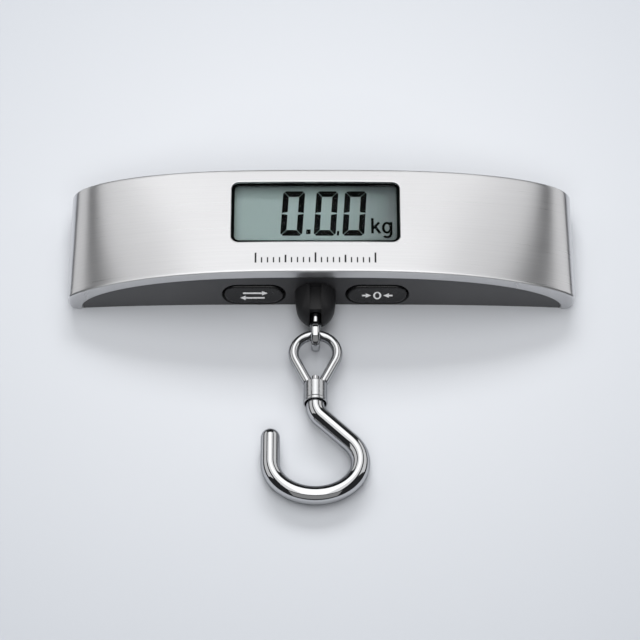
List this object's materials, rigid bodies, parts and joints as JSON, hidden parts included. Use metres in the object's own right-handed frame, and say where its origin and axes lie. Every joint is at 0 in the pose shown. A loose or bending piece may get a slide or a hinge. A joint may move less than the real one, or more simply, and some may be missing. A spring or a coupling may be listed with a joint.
{
  "type": "digital luggage scale",
  "caption": "Handheld luggage scale: a bow-shaped black body with a brushed steel face, a display window, push keys on the underside and a swivelling chromed hook on an eye.",
  "frame": {"origin": "middle of the flat back that the scale lies on, halfway along its length", "axes": "+X along the body's length to the right of the display, +Y towards the edge held in the hand, away from the hook, +Z out of the display face"},
  "size_m": [0.136, 0.1025, 0.0148],
  "materials": {
    "brushed_steel": "satin, fine brushing along the length",
    "black_plastic": "fine moulded texture",
    "key_plastic": "smooth, low gloss",
    "clear_lens": "clear polished acrylic",
    "lcd": "grey-green reflective display",
    "white_film": "matt reflector film",
    "elastomer": "plain",
    "board": "green solder mask",
    "epoxy": "moulded epoxy",
    "plunger_plastic": "plain",
    "tinned_metal": "nickel plated",
    "capacitor_can": "plain can",
    "wire_red": "plain insulation",
    "wire_black": "plain insulation",
    "aluminium": "machined",
    "gauge_film": "polyimide film",
    "zinc_plate": "zinc plated",
    "spring_bronze": "plain spring strip",
    "chrome": "bright polished"
  },
  "bodies": {
    "body": {"back_cover": "black_plastic", "back_screw_1": "zinc_plate", "back_screw_2": "zinc_plate", "back_screw_3": "zinc_plate", "back_screw_4": "zinc_plate", "battery_cell": "tinned_metal", "battery_lead_minus": "wire_black", "battery_lead_plus": "wire_red", "board_screw_1": "zinc_plate", "board_screw_2": "zinc_plate", "board_screw_3": "zinc_plate", "board_screw_4": "zinc_plate", "bolt_nut": "zinc_plate", "bolt_washer": "zinc_plate", "bracket_screw_1": "zinc_plate", "bracket_screw_2": "zinc_plate", "capacitor_left": "capacitor_can", "capacitor_right": "capacitor_can", "cell_bracket": "zinc_plate", "cell_screw_1": "zinc_plate", "cell_screw_2": "zinc_plate", "circuit_board": "board", "contact_negative": "spring_bronze", "contact_positive": "spring_bronze", "contact_strip_far": "elastomer", "contact_strip_near": "elastomer", "controller_chip": "epoxy", "crystal_can": "tinned_metal", "display_lens": "clear_lens", "eye_bolt": "chrome", "front_housing": "black_plastic", "hook_boss": "black_plastic", "lcd_frame": "black_plastic", "lcd_glass": "lcd", "lcd_reflector": "white_film", "load_cell": "aluminium", "load_cell_leads": "wire_red", "steel_cover": "brushed_steel", "strain_gauge_far": "gauge_film", "strain_gauge_near": "gauge_film", "tare_switch": "epoxy", "unit_switch": "epoxy"},
    "unit_key": {"unit_button": "key_plastic", "unit_switch_plunger": "plunger_plastic"},
    "tare_key": {"tare_button": "key_plastic", "tare_switch_plunger": "plunger_plastic"},
    "door": {"battery_door": "black_plastic"},
    "eye": {"hook_eye": "chrome", "swivel_collar": "chrome"},
    "hook": {"hook": "chrome"}
  },
  "joints": [
    {"name": "unit_press", "type": "slide", "parent": "body", "child": "unit_key", "axis": [0, 1, 0], "range_m": [0, 0.0006], "stiffness_N_per_m": 1500},
    {"name": "tare_press", "type": "slide", "parent": "body", "child": "tare_key", "axis": [0, 1, 0], "range_m": [0, 0.0006], "stiffness_N_per_m": 1500},
    {"name": "door_turn", "type": "hinge", "parent": "body", "child": "door", "pos_m": [-0.042, 0, 0.0015], "axis": [0, 0, -1], "range_deg": [0, 35]},
    {"name": "hook_fold", "type": "hinge", "parent": "body", "child": "eye", "pos_m": [-0.0016, -0.0319, 0.005], "axis": [-1, 0, 0], "range_deg": [-110, 110]},
    {"name": "hook_swivel", "type": "hinge", "parent": "eye", "child": "hook", "pos_m": [-0.0016, -0.0319, 0.005], "axis": [0, -0.9988, -0.0492], "continuous": true}
  ]
}
